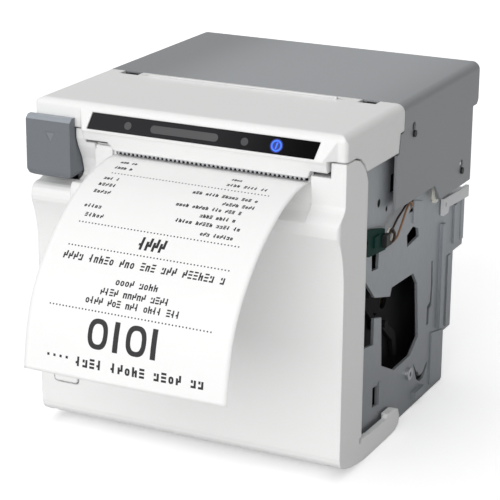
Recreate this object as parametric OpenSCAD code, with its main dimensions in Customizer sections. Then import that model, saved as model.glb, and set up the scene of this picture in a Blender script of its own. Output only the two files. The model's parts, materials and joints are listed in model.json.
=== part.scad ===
// Compact front-exit receipt printer for 80 mm thermal rolls.
// Millimetres. +X to the right seen from the front, front faces -Y, +Z up.
// Origin: centre of the four mounting holes, on the underside of the base plate.

/* [Body] */
// Width over the white covers
body_w = 127; // [126.5:0.5:129]
// Height of the top above the base
body_h = 131; // [130.5:0.5:133]
// Distance from the origin back to the hood's rear face
hood_back = 67.5; // [66.5:0.5:70]
// Wall of the moulded covers
wall = 2.0; // [1.6:0.1:2.2]
// Thickness of the frame's sheet steel
sheet = 1.2; // [1.0:0.1:1.2]
// Thickness of the hood's sheet
hood_t = 1.0; // [0.8:0.1:1.2]

/* [Paper] */
// Width of the paper strip
strip_w = 79; // [78:0.5:79.5]
// Sideways position of the strip's centre line
strip_c = 9.6; // [9:0.1:10]
// Thickness the strip is drawn with
strip_t = 0.2; // [0.12:0.02:0.24]
// Diameter of a full roll
roll_d = 80; // [76:1:80]
// Outer diameter of the roll's core
core_d = 17; // [14:0.5:20]

/* [Mechanism] */
// Diameter of the platen's rubber
platen_d = 12; // [11.6:0.1:12]
// Diameter of the platen's shaft
shaft_d = 6; // [5:0.5:6]
// Module of the feed gears
feed_m = 0.8; // [0.76:0.01:0.8]
// Share of a half pitch that a gear tooth fills
tooth_fill = 0.84; // [0.7:0.02:0.86]
// Width of the feed button
button_w = 10.2; // [8:0.2:10.6]
// Width of the opening lever
lever_w = 19; // [16:0.5:19.2]

/* [Mounting] */
// Sideways distance between mounting holes
mount_x = 90; // [80:1:96]
// Front-to-back distance between mounting holes
mount_y = 56; // [50:1:60]
// Diameter of a mounting hole
mount_d = 3.4; // [3:0.1:4.5]

/* [Node] */
// Piece to draw, or all of them

/* [Hidden] */
$fn = 48;
half_w = body_w/2;
plate_out = half_w - 3.5;      // outer face of the side plates
plate_in = plate_out - sheet;  // inner face of the side plates
cover_in = half_w - wall;      // inner face of the covers' side walls
front_y = -67;                 // front face of the covers
frame_back = 45.8;             // rear edge of the base and top plates
frame_top = 122.6;
strip_left = strip_c - strip_w/2;
strip_right = strip_c + strip_w/2;
roll_r = roll_d/2;

// [y, z] of the axes that run along X
hinge_at = [-52, 20.5];
platen_at = [-52, 106.2];
roll_at = [-2, 49];
latch_at = [-55, 116.4];
catch_at = [-44.5, 115];
idler_at = [-37.4, 102.0];
motor_at = [-29.3, 93.0];
head_at = [-34, 114.5];
cutter_at = [-59.3, 122.3];
cut_motor_at = [-53.5, 124.2];
near_end_at = [-14, 44];
hood_screws_at = [[-3.7,117.7],[50.4,89.7]];
bracket_posts_at = [[-13,97],[-13,82],[-40.4,91]];

// places shared by several pieces
light_x = [-23.3, 24.7, 37];
light_z = 125;
board_x = [-44, 46];           // main board's standoffs
board_y = [-2, 38];
board_bottom = 111.9;
board_top = 113.5;
rear_screw_x = [-50, 50];
rear_screw_z = [14, 86];
spring_x = [-15, 35];          // print head's springs
spring_y = -46;
head_left = -32;
head_right = 51;
rod_bore = 1.56;               // radius that clears the head rod and the idler post

WHITE = [0.88,0.88,0.87];
ZINC = [0.55,0.58,0.61];
STEEL = [0.75,0.76,0.78];
GREY_STEEL = [0.7,0.71,0.73];
DARK_STEEL = [0.5,0.52,0.55];
MOTOR_GREY = [0.35,0.36,0.38];
IVORY = [0.92,0.92,0.9];
BRASS = [0.72,0.62,0.35];
PAPER = [0.97,0.97,0.96];
GREEN = [0.05,0.25,0.12];

// ---- helpers -------------------------------------------------------------
// box between two corners
module box(x0,x1,y0,y1,z0,z1) translate([x0,y0,z0]) cube([x1-x0,y1-y0,z1-z0]);
// one box for each row of [x0, x1, y0, y1, z0, z1]
module boxes(rows) for (r=rows) box(r[0],r[1],r[2],r[3],r[4],r[5]);
// outline in Y-Z pushed along X
module push_x(x0,t) translate([x0,0,0]) rotate([90,0,90]) linear_extrude(t) children();
// outline in X-Z pushed along Y
module push_y(y0,t) translate([0,y0+t,0]) rotate([90,0,0]) linear_extrude(t) children();
// outline in X-Y pushed along Z
module push_z(z0,t) translate([0,0,z0]) linear_extrude(t) children();
// round bars along each axis; at = [y, z] for rod_x
module rod_x(x0,x1,at,r) translate([x0,at[0],at[1]]) rotate([0,90,0]) cylinder(h=x1-x0,r=r);
module rod_y(y0,y1,x,z,r) translate([x,y1,z]) rotate([90,0,0]) cylinder(h=y1-y0,r=r);
module rod_z(z0,z1,x,y,r) translate([x,y,z0]) cylinder(h=z1-z0,r=r);
// the same shape on the left and the right, from distance inner to outer
module push_pair(inner,outer) {
  push_x(-outer,outer-inner) children();
  push_x(inner,outer-inner) children();
}
module rod_pair(inner,outer,at,r) {
  rod_x(-outer,-inner,at,r);
  rod_x(inner,outer,at,r);
}
module box_pair(inner,outer,y0,y1,z0,z1) {
  box(-outer,-inner,y0,y1,z0,z1);
  box(inner,outer,y0,y1,z0,z1);
}
module disc(at,r) translate(at) circle(r);
module rect(x0,x1,y0,y1) translate([x0,y0]) square([x1-x0,y1-y0]);
// rectangle with four round corners
module round_rect(x0,x1,y0,y1,r) {
  rect(x0+r,x1-r,y0,y1);
  rect(x0,x1,y0+r,y1-r);
  for (x=[x0+r,x1-r], y=[y0+r,y1-r]) disc([x,y],r);
}
// round-ended slot; length is between the end centres
module slot(x,y,length,w) {
  rect(x-length/2,x+length/2,y-w/2,y+w/2);
  for (s=[-1,1]) disc([x+s*length/2,y],w/2);
}
module wire_ring(r,wire_r) rotate_extrude($fn=32) translate([r,0]) circle(wire_r,$fn=16);
// a line of points given thickness t to one side
function band(p,t) = concat(p, [for (i=[len(p)-1:-1:0])
  let(d=p[min(len(p)-1,i+1)]-p[max(0,i-1)]) p[i]+[d[1],-d[0]]*t/norm(d)]);
// spur gear outline with one tooth pointing at the given angle
function gear_points(teeth,m,angle) =
  let(pitch_r=teeth*m/2, tip_r=pitch_r+0.86*m, root_r=pitch_r-1.1*m, half=90/teeth*tooth_fill)
  [for (i=[0:teeth-1], c=[[root_r,-1.42],[pitch_r,-1],[tip_r,-0.45],
      [tip_r,0.45],[pitch_r,1],[root_r,1.42]])
    let(a=angle+i*360/teeth+half*c[1]) c[0]*[cos(a),sin(a)]];
module gear(x0,t,at,teeth,m,angle,bore) push_x(x0,t) translate(at) difference() {
  polygon(gear_points(teeth,m,angle));
  circle(bore);
}
function frac(v) = v - floor(v);
function bearing(from,to) = atan2(to[1]-from[1],to[0]-from[0]);
// tooth angle of gear 2 that meshes with gear 1 (tooth at angle1) along direction dir
function mesh_angle(dir,angle1,teeth1,teeth2) =
  dir+180+(frac((dir-angle1)/(360/teeth1))+0.5)*360/teeth2;

// ---- covers --------------------------------------------------------------
// [y, z]: lower edge of the top cover's side, front to back
lid_side = [[-75,121.5],[-58.9,121.4],[-54.2,120],[-50.4,117],[-48.1,114],[-18.6,113.6],
  [-17.4,120.8],[-13.6,121],[-13.6,body_h],[-75,body_h]];
// the cover's nose over the paper exit, as [y, z], [x, z] and [x, y]
nose_side = [[-66.9,129],[-67.2,128.4],[-70.2,121.8],[-70.1,121.2],[-69.6,120.7],
  [-67.7,115.6],[-67.5,114.5],[-65.2,114.5],[-65.2,129]];
nose_front = [[-44,129],[-44,121.7],[-41.5,121.7],[-41.5,117.6],[-31.5,117.6],[-29.4,114.5],
  [48.8,114.5],[50.1,117.4],[56.8,117.4],[56.8,121.7],[60.3,121.7],[60.3,129]];
nose_plan = [[-44,-66.6],[-40.5,-71.2],[54.4,-71.2],[60.3,-66.6],[60.3,-64],[-44,-64]];
// window and its pocket, side [y, z] and front [x, z]
window_side = [[-67.38,127.98],[-69.97,122.31],[-69.08,121.9],[-66.5,127.56]];
window_front = [[-37.8,128.3],[53.5,128.3],[51.75,121.5],[-39.3,121.5]];
pocket_side = [[-68.30,128.48],[-70.94,122.67],[-69.08,121.83],[-66.44,127.64]];
pocket_front = [[-38,128.8],[53.8,128.8],[52.05,121.3],[-39.55,121.3]];
// sloping slab with the given side and front outlines
module nose_slab(side,front) intersection() {
  push_x(-45,105) polygon(side);
  push_y(-75,15) polygon(front);
}
module cover_shell() difference() {
  intersection() {
    push_x(-half_w,body_w) intersection() {
      polygon(lid_side);
      round_rect(front_y,20,60,body_h,2.6);
    }
    push_y(-80,80) round_rect(-half_w,half_w,40,body_h,3.4);
    push_z(100,40) round_rect(-half_w,half_w,front_y,20,1.8);
  }
  box(-cover_in,cover_in,front_y+wall,-5,90,body_h-wall);
  box(-41.5,56.8,-72,-64,100,122);
}
module top_cover() color(WHITE) difference() {
  union() {
    cover_shell();
    intersection() {
      push_x(-44,104.3) polygon(nose_side);
      push_y(-75,12) polygon(nose_front);
      push_z(110,25) polygon(nose_plan);
    }
    // posts under the roof
    for (x=[-50,50], y=[-44,-34]) rod_z(body_h-7.1,body_h-wall,x,y,2.6);
    // rib across the rear of the roof
    box(-42.3,38.1,-18.4,-17.5,body_h-0.5,body_h+0.45);
  }
  nose_slab(pocket_side,pocket_front);
  // recess for the tear bar
  box(-28.7,48.1,-67,-66.1,112,116.7);
  // openings for the light guides
  for (x=light_x) rod_y(-70,-60,x,light_z,1.3);
  box(-13.2,14.2,-70,-60,123.9,126.1);
  // notches and groove at the rear edge
  box(-54.8,-46.8,-18.4,-13,body_h-5,body_h+5);
  box(46.5,53.6,-18.4,-13,body_h-5,body_h+5);
  box(-45,41,-17.5,-16.7,body_h-1.2,body_h+1);
}
module indicator_window() color([0.03,0.03,0.035]) nose_slab(window_side,window_front);
module light_guides() color([0.85,0.9,0.95]) {
  for (x=light_x) rod_y(-66.9,-64.7,x,light_z,1.2);
  box(-13,14,-66.9,-64.7,124,126);
}
module indicator_board() color(GREEN) {
  difference() {
    box(-36,44,-63.5,-62.3,121.3,128.2);
    for (x=[-33,41]) rod_y(-70,-60,x,124.8,1.1);
  }
  for (x=concat(light_x,[0.5,-8,9])) box(x-1.1,x+1.1,-64.6,-63.5,124.2,125.8);
  box(-30,-27,-62.3,-61.2,122,127);
}
tear_left = -28.6;
tear_pitch = 1.741;
module tear_bar() color(STEEL) push_y(-66.9,0.7)
  polygon(concat([[48,116.6],[tear_left,116.6],[tear_left,114.3]],
    [for (i=[0:43], c=[[0.25,114.2],[0.87,112.95],[1.5,114.2]])
      [tear_left+i*tear_pitch+c[0],c[1]]],
    [[48,114.3]]));
// [y, z]
hood_side = [[-13.2,body_h],[-13.2,120.5],[-16.6,120.2],[-17.7,113],[-20.3,112.7],
  [-20.3,91.6],[21,90.8],[27.5,83.6],[61.5,83.2],[61.5,113.9],[hood_back-1.6,113.9],
  [hood_back,115.6],[hood_back,body_h]];
module hood() color([0.56,0.58,0.6]) difference() {
  intersection() {
    push_x(-half_w,body_w) polygon(hood_side);
    push_y(-30,110) round_rect(-half_w,half_w,20,body_h,3.2);
  }
  intersection() {
    box(-half_w+hood_t,half_w-hood_t,-40,hood_back-hood_t,60,body_h-hood_t);
    push_y(-45,140) round_rect(-half_w+hood_t,half_w-hood_t,0,body_h-hood_t,2.2);
  }
  // keyholes, each reaching down over its screw
  for (p=hood_screws_at) push_x(-80,160) translate(p+[0,2.8]) {
    circle(1.7);
    rect(-0.9,0.9,-4,0);
  }
}

// ---- frame ---------------------------------------------------------------
// all tables here are [y, z]
module plate_outline() difference() {
  union() {
    polygon([[-36.8,0.2],[45.8,0.2],[45.8,60],[47,60],[47,80],[56,86],[56,122.6],
      [-55.5,122.6],[-55.5,119.5],[-60.5,111],[-60.5,28],[-43.9,12.1],[-36.9,4.8]]);
    disc(hinge_at,11.6);
    polygon([[-60.5,40],[-63,28],[-63.2,22],[-45,12.5],[-40,30]]);
  }
  disc(hinge_at,3.06);
  disc(head_at,rod_bore);
}
right_windows = [
  [[-17.3,97.6],[-13,97.2],[-13.4,104.2],[-17.1,104.4]],
  [[1.7,75.5],[8,77.4],[13.6,75],[14.6,71.6],[2.4,70.4]],
  [[3,84],[5,86.2],[10,83.4]],
  [[-33.4,77.6],[-26.4,77.2],[-26.6,70.6],[-33,71.3]],
  [[-44,69.6],[-38.9,69],[-29.1,59.7],[-13.8,55.4],[-12.5,58.6],[9.8,57.6],[14.8,51.8],
    [17.7,28.6],[9.6,23.2],[-7.2,22.9],[-20.6,29.4],[-22.1,49.6],[-29.3,51.5],[-29.3,40.9],
    [-44,43.5]],
  [[-28.8,23.2],[-23.6,22.6],[-23.6,14.6],[-28.8,15.1]],
  [[12.8,18.8],[14.4,17.2],[17.4,13.4],[19,13],[20.6,10.6],[24.6,11],[28.6,14.2],[29.2,12.6],
    [25.6,8.4],[21,8],[17.4,10.2],[15.4,14.2]],
  [[29.8,56.6],[31.2,56.6],[32.2,46.6],[31.6,37.6],[29.4,36.6],[29,30.3],[26.6,30.3],
    [26.7,38.2],[29.6,39.4],[30.3,46]]];
// raised areas on the right plate's outer face: [height, outline]
right_pads = [
  [1.5, [[38,25.4],[41.6,24.6],[41.6,69.6],[38,70]]],
  [0.7, [[31.4,3],[44.6,1.4],[44.6,23],[31.4,25.6]]],
  [0.5, [[-23.4,14.4],[-21.4,14.2],[-21.4,23.2],[-23.4,23.6]]],
  [0.6, [[6.8,79],[16.8,77.4],[16.8,85.4],[6.8,88.2]]]];
module side_plate_right() color(ZINC) {
  push_x(plate_in,sheet) difference() {
    plate_outline();
    for (w=right_windows) polygon(w);
    disc([-27.8,96.3],1.6);
    disc([-20.2,92.1],1.1);
  }
  for (p=right_pads) push_x(plate_out-0.01,p[0]) polygon(p[1]);
  // turned-out tab
  box(plate_out-0.01,plate_out+1.8,12.5,22.5,3.4,6.4);
}
module side_plate_left() color(ZINC) push_x(-plate_out,sheet) difference() {
  plate_outline();
  polygon([[-26,60],[9.8,60],[14.8,51.8],[17.7,28.6],[9.6,23.2],[-7.2,22.9],[-26,29.4]]);
  disc([20,72],3);
  disc([5,98],2);
  polygon([[24,95],[33,95],[33,112],[24,112]]);
}
module base_plate() color(ZINC) difference() {
  union() {
    box(-plate_in,plate_in,-34,frame_back,0,1.2);
    box_pair(plate_in-1.2,plate_in,-28,44,1.2,7);
    box(-50,50,-34,-32.8,1.2,4);
  }
  for (x=[-1,1], y=[-1,1]) rod_z(-1,5,x*mount_x/2,y*mount_y/2,mount_d/2);
  push_z(-1,4) {
    slot(0,18,40,10);
    for (x=[-34,34]) slot(x,36,10,5);
  }
}
module rear_plate() color(ZINC) difference() {
  union() {
    box(-plate_in,plate_in,frame_back,47,0.2,frame_top);
    box_pair(plate_in-9,plate_in,44.6,frame_back,20,60);
  }
  // opening for the ports
  box(-44,46,45,48,96.8,112.2);
  push_y(40,10) {
    slot(0,30,40,6);
    for (x=[-30,0,30]) disc([x,80],3);
  }
  for (x=rear_screw_x, z=rear_screw_z) rod_y(40,50,x,z,1.6);
}
module top_plate() color(ZINC) difference() {
  union() {
    box(-plate_in,plate_in,-29,frame_back,121.4,frame_top);
    box(-54,54,-29,-27.8,115,121.4);
  }
  push_z(115,10) {
    slot(0,10,60,12);
    slot(-30,30,12,8);
  }
  for (x=board_x, y=board_y) rod_z(110,130,x,y,1.6);
}
module head_bridge() color(ZINC) difference() {
  union() {
    box(-plate_in,plate_in,-48.8,-29.6,122.7,123.9);
    box(-plate_in,plate_in,-31,-29.6,118.6,122.7);
  }
  for (x=spring_x) rod_z(120,130,x,spring_y,1.2);
}
module rear_bracket() color([0.86,0.86,0.85]) difference() {
  union() {
    push_x(plate_out+0.3,1.4)
      polygon([[37,73.8],[42.4,73.8],[43.6,76],[66,74.6],[66,79.4],[36.8,81]]);
    box(40,plate_out+0.3,47.2,66,76,78.2);
  }
  rod_x(50,70,[39.7,78],0.9);
}
module rear_box() color([0.48,0.5,0.52]) difference() {
  boxes([
    [22,plate_out-0.6,47.1,66.6,53.4,75.8],
    [40,plate_out-1.4,47.1,58.2,20,53.4],
    [50,plate_out+0.2,54.4,57.6,57,73.4],
    [50,plate_out-0.2,63.4,66.6,56,73.4],
    [50,plate_out-0.8,51.4,54.4,21.6,52.6]]);
  box(23,plate_out-1.6,46,65.6,54.4,74.8);
  box(41,plate_out-2.4,46,57.2,21,54.6);
  for (z=[58,62,66,70]) box(28,54,60,70,z,z+1.6);
}

// ---- paper ---------------------------------------------------------------
bucket_left = -33;
bucket_right = 52.4;
bucket_t = 1.8;
bucket_r = 42.4;
module bucket_arc() difference() {
  disc(roll_at,bucket_r,$fn=96);
  disc(roll_at,bucket_r-bucket_t,$fn=96);
  // open the ring above and in front, between 62 and 222 degrees
  polygon([roll_at,roll_at+60*[cos(62),sin(62)],roll_at+[0,90],roll_at+[-90,90]-[2,0]+[2,0]
    -[90+roll_at[0]-90-roll_at[0],0]+[-roll_at[0],0]+[roll_at[0],0]
    ,[roll_at[0]-90,roll_at[1]-30],roll_at+60*[cos(222),sin(222)]]);
}
module bucket_end() difference() {
  intersection() {
    disc(roll_at,bucket_r,$fn=96);
    polygon([[-34,12],[-34,22],[-20,60],[-6,76],[50,76],[50,0],[-20,0]]);
  }
  disc(roll_at,3.5);
}
module paper_bucket() color([0.06,0.06,0.065]) {
  difference() {
    push_x(bucket_left,bucket_right-bucket_left) bucket_arc();
    push_z(0,60) slot(9.6,14,40,8);
  }
  for (x=[bucket_left,bucket_right-bucket_t]) push_x(x,bucket_t) bucket_end();
  // feet
  for (x=[-20,9.6,40]) push_x(x,2)
    polygon([[-14,1.3],[22,1.3],[22,12],[8,7.4],[-2,6.4],[-14,7.8]]);
  // pegs to the side plates
  rod_x(-plate_in,bucket_left,[30,46],3);
  rod_x(bucket_right,plate_in,[30,46],3);
}
module paper_roll() color([0.95,0.95,0.94]) difference() {
  rod_x(strip_left-0.5,strip_right+0.5,roll_at,roll_r,$fn=96);
  rod_x(strip_left-2,strip_right+2,roll_at,core_d/2);
}
module roll_core() color([0.62,0.5,0.36]) difference() {
  rod_x(strip_left-0.3,strip_right+0.3,roll_at,core_d/2);
  rod_x(strip_left-2,strip_right+2,roll_at,core_d/2-1.5);
}
// the web leaves the roll on a tangent aimed at web_aim
web_r = roll_r+0.4;
web_aim = [-44.5,108.5];
leave_angle = bearing(roll_at,web_aim)+acos(web_r/norm(web_aim-roll_at));
// [y, z] along the strip, from the roll to the cutter
web_line = [roll_at+web_r*[cos(leave_angle),sin(leave_angle)],[-44.5,108.3],[-44.8,109.5],
  [-45.4,110.6],[-46.2,111.4],[-47.2,111.95],[-48.5,112.28],[-50,112.36],[-56,112.38],
  [-62.4,112.5]];
module paper_web() color(PAPER) push_x(strip_left,strip_w) polygon(band(web_line,strip_t));
// [y, z] along the strip, from the exit to its hanging end
receipt_line = [[-64.9,112.62],[-67,112.72],[-71,112.6],[-76,112],[-80.5,111],[-85,109.6],
  [-89,108.1],[-93,106.2],[-97,104],[-101,101.5],[-105,98.7],[-109,95.5],[-113,91.8],
  [-117,87.6],[-120.5,83.4],[-123.5,78.8],[-126,73.8],[-128,68],[-129.6,61],[-131.15,51.3]];
module receipt() color(PAPER) push_x(strip_left,strip_w) polygon(band(receipt_line,-strip_t));

// ---- front door ----------------------------------------------------------
// tables here are [y, z]
door_side = [[-47,12],[-47.2,110],[-48.7,113.4],[-51,116.4],[-54.7,119.4],[-59.2,120.9],
  [-67,121],[-67,105.4],[-67.4,104.3],[-68.4,103.1],[-70.3,101.6],[-71.4,100.4],[-72,99.2],
  [-72.2,97.8],[-72.2,74],[-67,74],[-67,9.4],[-66.5,7.3],[-65.2,5.6],[-62.4,4],[-57,2.5],
  [-52,1.6],[-44.8,0.7],[-40,0.5],[-40,9.5],[-46.5,9.9]];
door_hollow = [[-64.8,-5],[-64.8,119],[-61.5,119],[-61.5,130],[-30,130],[-30,-5]];
door_lip = [[-64.9,5.2],[-62.4,4],[-57,2.5],[-55.4,2.2],[-55.4,4],[-61.4,5.9],[-64.3,8.2],
  [-64.9,9]];
lever_cheek = [[-65.4,100.2],[-62,103.3],[-62,104.5],[-63.2,109],[-65.8,114],[-66.6,117.1],
  [-64.6,117.1],[-63.4,114],[-61.5,109],[-60.2,104.5],[-60.3,102],[-62.4,98.4]];
exit_floor = [[-66,96],[-66,103.2],[-65.3,104.6],[-64.9,106.5],[-64.9,111.9],[-64.1,111.9],
  [-64.1,106.4],[-63.4,106.4],[-62,106.5],[-62,111.5],[-60.4,111.5],[-60.2,107],
  [-62.4,103.6],[-63.2,96]];
chute = [[-74,98.2],[-71.7,99.6],[-67.5,102],[-65.8,104.3],[-64.9,107.5],[-64.9,121],
  [-74,121]];
lever_hollow = [[-80,117.3],[-67,117.3],[-65.8,114],[-63.2,109],[-62,104.5],[-62,103.3],
  [-63,101.9],[-65.4,100.9],[-70.8,101.3],[-80,101.5]];
door_arm = [[-46.9,9.4],[-22.5,8.7],[-21,10.2],[-14,10],[-10.5,8.6],[-9.1,5.5],[-9.6,2.3],
  [-13,0.7],[-17,0.4],[-41,0.5],[-46.9,1]];
arm_pad = [[-21,10.2],[-14,10],[-10.5,8.6],[-9.1,5.5],[-9.6,2.3],[-13,0.7],[-17,0.4],
  [-20,0.4]];
sill = [[-70.4,91],[-70.9,92.4],[-71.1,94],[-70.9,95.6],[-70.2,97],[-69,98],[-67.4,98.5],
  [-65,98.6],[-62.7,99.3],[-62,99.7],[-61.8,94],[-64.9,94],[-64.9,91]];
door_rib = [[-64.9,30],[-64.9,90],[-62.5,88],[-62.5,32]];
// cheeks and shelves around the paper exit: [x0, x1, y0, y1, z0, z1]
exit_boxes = [
  [-40,-38,-66,-61.8,96,117],
  [50,52,-66,-61.8,96,116],
  [-41.7,-38,-66,-61.5,115,117],
  [50,57.6,-66,-61.5,114,116],
  [57.6,59.2,-65.5,-61.5,115,120.5],
  [-43.7,-41.7,-66,-61.5,115,120.5],
  [-45.6,-38,-66,-61.8,95,117],
  [-45.6,-43.7,-66,-61.8,117,120.9],
  [50,57.6,-66,-63.9,97,116]];
module door_plan() push_z(-5,140) round_rect(-half_w,half_w,-72.4,20,2);
module door_shell() difference() {
  intersection() {
    push_x(-half_w,body_w) difference() {
      polygon(door_side);
      disc([-111.5,74],44.5,$fn=96);
    }
    door_plan();
  }
  push_x(-cover_in,2*cover_in) polygon(door_hollow);
  box(-41.7,50,-80,-40,117,130);
  box(49.9,57.6,-80,-40,116,130);
}
module front_door() color(WHITE) {
  difference() {
    union() {
      door_shell();
      // lower lip, kept between the side plates
      push_x(-57.6,115.2) polygon(door_lip);
      boxes(exit_boxes);
      push_x(-45.6,7.6) polygon(lever_cheek);
      push_x(-40,92) polygon(exit_floor);
    }
    // chute that the strip lies over
    push_x(-38,88) polygon(chute);
    // clearance under the ends of the cover's nose
    box(-41.7,-30,-80,-57,116.1,119);
    box(50,57.6,-80,-57,115.4,117);
    // lever notch in the top left corner
    box(-half_w-2,-45.6,-80,-57,92,122);
    // hollowed face between the lever and the exit
    push_x(-45.7,7.7) polygon(lever_hollow);
    // opening for the feed button
    push_y(-75,15) round_rect(-57.8,-46.7,18.3,30.2,1.6);
    box(-half_w-1,half_w+1,-48.9,-46.2,8.5,10.9);
  }
  // side arms under the frame
  push_pair(cover_in,half_w) polygon(door_arm);
  push_pair(plate_out+0.7,cover_in) polygon(arm_pad);
  box(-38.5,-31,-65.6,-64.1,103,115.4);
  // sloped sill under the lever
  intersection() {
    push_x(-half_w,half_w-45.5) polygon(sill);
    door_plan();
  }
  // hinge bosses and stiffening ribs
  difference() {
    rod_pair(plate_out+0.15,cover_in,hinge_at,5.2);
    rod_x(-80,80,hinge_at,3);
  }
  for (x=[-41,0,41]) push_x(x-0.8,1.6) polygon(door_rib);
}
module door_liner() color([0.08,0.08,0.085]) difference() {
  union() {
    box(-54,55,-49.2,-47.6,32,90);
    box(-54,55,-62.4,-47.6,88.4,90);
    box(-54,55,-62.4,-47.6,32,33.4);
    for (x=[-54,-20,9,38,53.4]) box(x,x+1.6,-62.4,-49.2,33.4,88.4);
  }
  for (x=[-30,-4,24,46]) push_y(-51,6) slot(x,61,0.1,12);
}
ear_x = [-51.5, 51.3];   // left faces of the carrier's two ears
ear_top = [119.2, 113.6];
ear_t = 2;
module carrier_ear(x0,top) push_x(x0,ear_t) difference() {
  polygon([[-64.7,76],[-64.7,93.5],[-56.6,93.5],[-57.2,top-2],[-55.8,top],[-53.6,top],
    [-52.4,112.6],[-47.4,111.8],[-46.6,104],[-47.2,91.6],[-62.4,91.6],[-62.4,76]]);
  disc(platen_at,4.5);
  // only the taller ear reaches the latch pin
  if (top > 116) disc(latch_at,2);
}
module platen_carrier() color(DARK_STEEL) {
  for (i=[0,1]) carrier_ear(ear_x[i],ear_top[i]);
  box(-49.5,51.3,-56.4,-47.4,91.6,93.2);
  box(-37.8,51.3,-61.6,-60.4,93.2,103);
  box(-49.5,51.3,-61.6,-56.4,91.6,93.2);
}
module platen_rubber() color([0.07,0.07,0.07]) difference() {
  rod_x(strip_left-0.9,strip_right+0.6,platen_at,platen_d/2);
  rod_x(-60,60,platen_at,shaft_d/2);
}
module platen_shaft() color(STEEL) difference() {
  rod_x(-56.6,54.6,platen_at,shaft_d/2);
  // flat at the gear end
  box(-60,-51.9,platen_at[0]+shaft_d/2-0.6,platen_at[0]+5,100,112);
}
module platen_bushings() color([0.9,0.89,0.85]) difference() {
  union() {
    for (x=ear_x) rod_x(x,x+ear_t,platen_at,4.5);
    for (x=[-49.5,50.6]) rod_x(x,x+0.7,platen_at,5.3);
  }
  rod_x(-60,60,platen_at,shaft_d/2+0.05);
}
module counter_blade() color([0.72,0.73,0.75]) push_y(-63.05,1)
  polygon([[-32,106.6],[49.8,106.6],[49.8,111.9],[-32,111.9]]);
module latch_pin() color(STEEL) {
  rod_x(-plate_in+0.2,-44.4,latch_at,2);
  rod_x(-44.4,-43.9,latch_at,2.6);
}
module hinge_pins() color(GREY_STEEL) {
  rod_pair(plate_out-4.2,cover_in,hinge_at,3);
  rod_pair(plate_out-4.2,plate_out-2,hinge_at,4.2);
}
button_x = -52.25;
module feed_button() color(WHITE) {
  difference() {
    push_y(-67.3,5.1) round_rect(button_x-button_w/2,button_x+button_w/2,18.9,29.6,1.3);
    // engraved chevron
    push_y(-68,0.95) translate([button_x,0])
      polygon([[-2.05,24.6],[0,23],[2.05,24.6],[2.05,24],[0,22.4],[-2.05,24]]);
  }
  push_y(-64.5,1) round_rect(-58.4,-46.1,17.7,30.8,1.6);
}
module button_board() color(GREEN) {
  box(-57.4,-45,-60,-58.8,15.6,31.4);
  box(-55,-49.5,-61,-60,21.6,27.1);
  box(-47.5,-45.5,-62.3,-60,15.6,17.2);
  difference() {
    box(-45,-43,-64.7,-58.8,15.6,31.4);
    box(-44.5,-42,-64,-60,17.6,29.4);
  }
}

// ---- feed drive ----------------------------------------------------------
gear_x = -56.5;   // left face of the platen and idler gears
gear_t = 4;
platen_teeth = 18;
idler_teeth = 20;
pinion_teeth = 10;
to_idler = bearing(platen_at,idler_at);
to_pinion = bearing(idler_at,motor_at);
idler_angle = mesh_angle(to_idler,to_idler,platen_teeth,idler_teeth);
pinion_angle = mesh_angle(to_pinion,idler_angle,idler_teeth,pinion_teeth);
module platen_gear() color(IVORY) difference() {
  union() {
    gear(gear_x,gear_t,platen_at,platen_teeth,feed_m,to_idler,shaft_d/2);
    difference() {
      rod_x(-52.5,-51.9,platen_at,4.2);
      rod_x(-60,0,platen_at,shaft_d/2);
    }
  }
  for (a=[0:60:300]) rod_x(-60,-55,platen_at+4.7*[cos(a),sin(a)],0.9);
}
module idler_gear() color(IVORY) difference() {
  gear(gear_x,gear_t,idler_at,idler_teeth,feed_m,idler_angle,rod_bore);
  for (a=[30:60:330]) rod_x(-60,-40,idler_at+4.8*[cos(a),sin(a)],1.2);
}
module motor_pinion() color(BRASS) {
  gear(-57.2,5.1,motor_at,pinion_teeth,feed_m,pinion_angle,1);
  rod_x(-57.4,-49,motor_at,1);
}
module feed_motor() color(MOTOR_GREY) difference() {
  union() {
    rod_x(-50.7,-35,motor_at,12);
    rod_x(-35,-33.4,motor_at,4);
    rod_x(-52,-50.7,motor_at,4);
    box(-45,-39,motor_at[0]+6,motor_at[0]+15,motor_at[1]-4,motor_at[1]+4);
  }
  rod_x(-53,-48.8,motor_at,1.05);
}
module motor_bracket() color(ZINC) difference() {
  union() {
    push_x(-51.9,1.2) difference() {
      polygon([[-43.4,88],[-43.4,108.5],[-33,109],[-10,100],[-10,79],[-36,79]]);
      disc(motor_at,4);
      for (s=[-1,1]) disc(motor_at+[s*9,s*9],1.1);
    }
    for (p=bracket_posts_at) rod_x(-plate_in,-51.9,p,2.2);
  }
  rod_x(-60,-45,idler_at,1.5);
  for (p=bracket_posts_at) rod_x(-60,-55,p,1);
}
module gear_posts() color(STEEL) {
  rod_x(-plate_in,-50.7,idler_at,1.5);
  rod_x(-plate_in,-56.9,idler_at,2.6);
}

// ---- print head ----------------------------------------------------------
module thermal_head() color([0.85,0.85,0.82]) {
  box(head_left,head_right,-58,-44,112.75,113.75);
  box(-30,49.5,-53.2,-50.8,112.65,112.76);
}
fin_pitch = 6.2;
module heat_sink() color([0.7,0.72,0.74]) difference() {
  union() {
    box(head_left,head_right,-58,-43,113.75,116.2);
    for (i=[0:13]) box(-31+i*fin_pitch,-29.6+i*fin_pitch,-58,-43,116.2,118.2);
    // lugs that turn on the head rod
    for (x=[-31,46.5]) push_x(x,3.2) polygon([[-43,113.75],[-34,112.4],[-32,113],
      [-31.6,115.5],[-34,117],[-38,115.4],[-43,115.2]]);
  }
  for (x=spring_x) rod_z(116.2,120,x,spring_y,3.1);
  rod_x(-60,60,head_at,rod_bore);
}
module head_rod() color(STEEL) rod_x(-plate_out-0.3,plate_out+0.3,head_at,1.5);
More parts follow.
